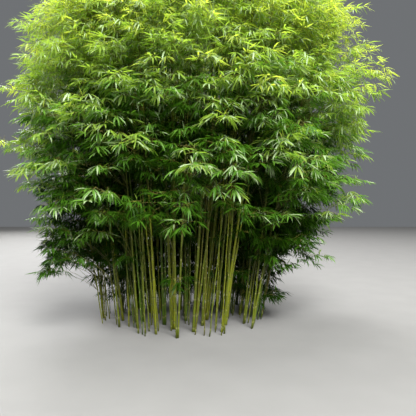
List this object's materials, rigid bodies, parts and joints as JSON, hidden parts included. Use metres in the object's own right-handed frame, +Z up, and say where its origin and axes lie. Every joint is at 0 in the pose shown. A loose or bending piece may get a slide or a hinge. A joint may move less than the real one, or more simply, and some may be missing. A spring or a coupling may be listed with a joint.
{
  "type": "clump-forming bamboo plant",
  "caption": "Tall clump of slender arching bamboo canes rooted in the ground, with a broad dome of drooping leaf sprays that leaves the canes bare low in front.",
  "frame": {"origin": "centre of the flat cut under the middle cane, at ground level", "axes": "+Z up along the canes, -Y towards the bare front of the clump, +X to the right of one who faces that front"},
  "size_m": [5.1385, 4.1824, 5.5173],
  "materials": {
    "cane": "satin, smooth green cane skin",
    "leaf": "satin green leaf"
  },
  "bodies": {
    "root": {"cane_01": "cane", "cane_02": "cane", "cane_03": "cane", "cane_04": "cane", "cane_05": "cane", "cane_06": "cane", "cane_07": "cane", "cane_08": "cane", "cane_09": "cane", "cane_10": "cane", "cane_11": "cane", "cane_12": "cane", "cane_13": "cane", "cane_14": "cane", "cane_15": "cane", "cane_16": "cane", "cane_17": "cane", "cane_18": "cane", "cane_19": "cane", "cane_20": "cane", "cane_21": "cane", "cane_22": "cane", "cane_23": "cane", "cane_24": "cane", "cane_25": "cane", "cane_26": "cane", "cane_27": "cane", "cane_28": "cane", "cane_29": "cane", "cane_30": "cane", "cane_31": "cane", "cane_32": "cane", "cane_33": "cane", "cane_34": "cane", "cane_35": "cane", "cane_36": "cane", "cane_37": "cane", "cane_38": "cane", "cane_39": "cane", "cane_40": "cane", "foliage_low_1": "leaf", "foliage_low_2": "leaf", "foliage_low_3": "leaf", "foliage_low_4": "leaf", "foliage_low_5": "leaf", "foliage_middle_1": "leaf", "foliage_middle_2": "leaf", "foliage_middle_3": "leaf", "foliage_middle_4": "leaf", "foliage_middle_5": "leaf", "foliage_middle_6": "leaf", "foliage_upper_1": "leaf", "foliage_upper_2": "leaf", "foliage_upper_3": "leaf", "foliage_upper_4": "leaf", "foliage_upper_5": "leaf", "foliage_top_1": "leaf", "foliage_top_2": "leaf", "foliage_top_3": "leaf", "foliage_crest_1": "leaf"}
  },
  "joints": []
}
